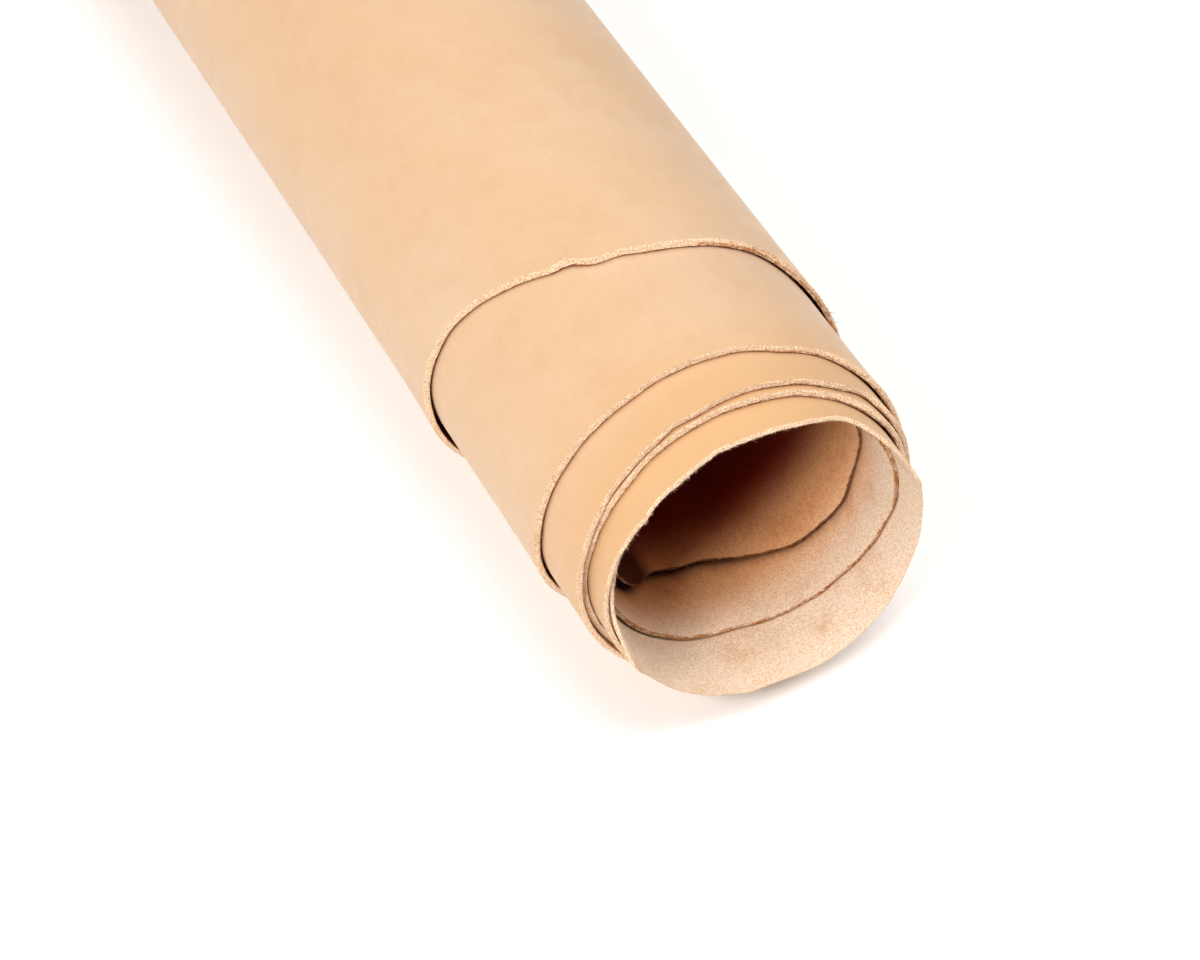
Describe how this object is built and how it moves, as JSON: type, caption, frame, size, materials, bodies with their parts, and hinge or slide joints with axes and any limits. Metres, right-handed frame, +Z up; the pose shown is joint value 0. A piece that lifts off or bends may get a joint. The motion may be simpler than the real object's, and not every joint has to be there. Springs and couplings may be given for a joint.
{
  "type": "rolled leather side",
  "caption": "Side of undyed vegetable-tanned leather, rolled up grain side out and lying down, with a hollow core and an uneven stepped edge at one end.",
  "frame": {"origin": "middle of the underside of the whole roll, on the surface that it lies on", "axes": "+Z up; the roll's axis is level along Y, with the uneven belly edge at the -Y end and the straight cut at the +Y end; +X is to the right seen from the -Y end"},
  "size_m": [0.119, 0.8478, 0.1151],
  "materials": {
    "vegetable_tanned_leather": "undyed vegetable-tanned leather, smooth satin grain side out, suede-like flesh side in, raw cut edges"
  },
  "bodies": {
    "root": {"leather_side": "vegetable_tanned_leather"}
  },
  "joints": []
}
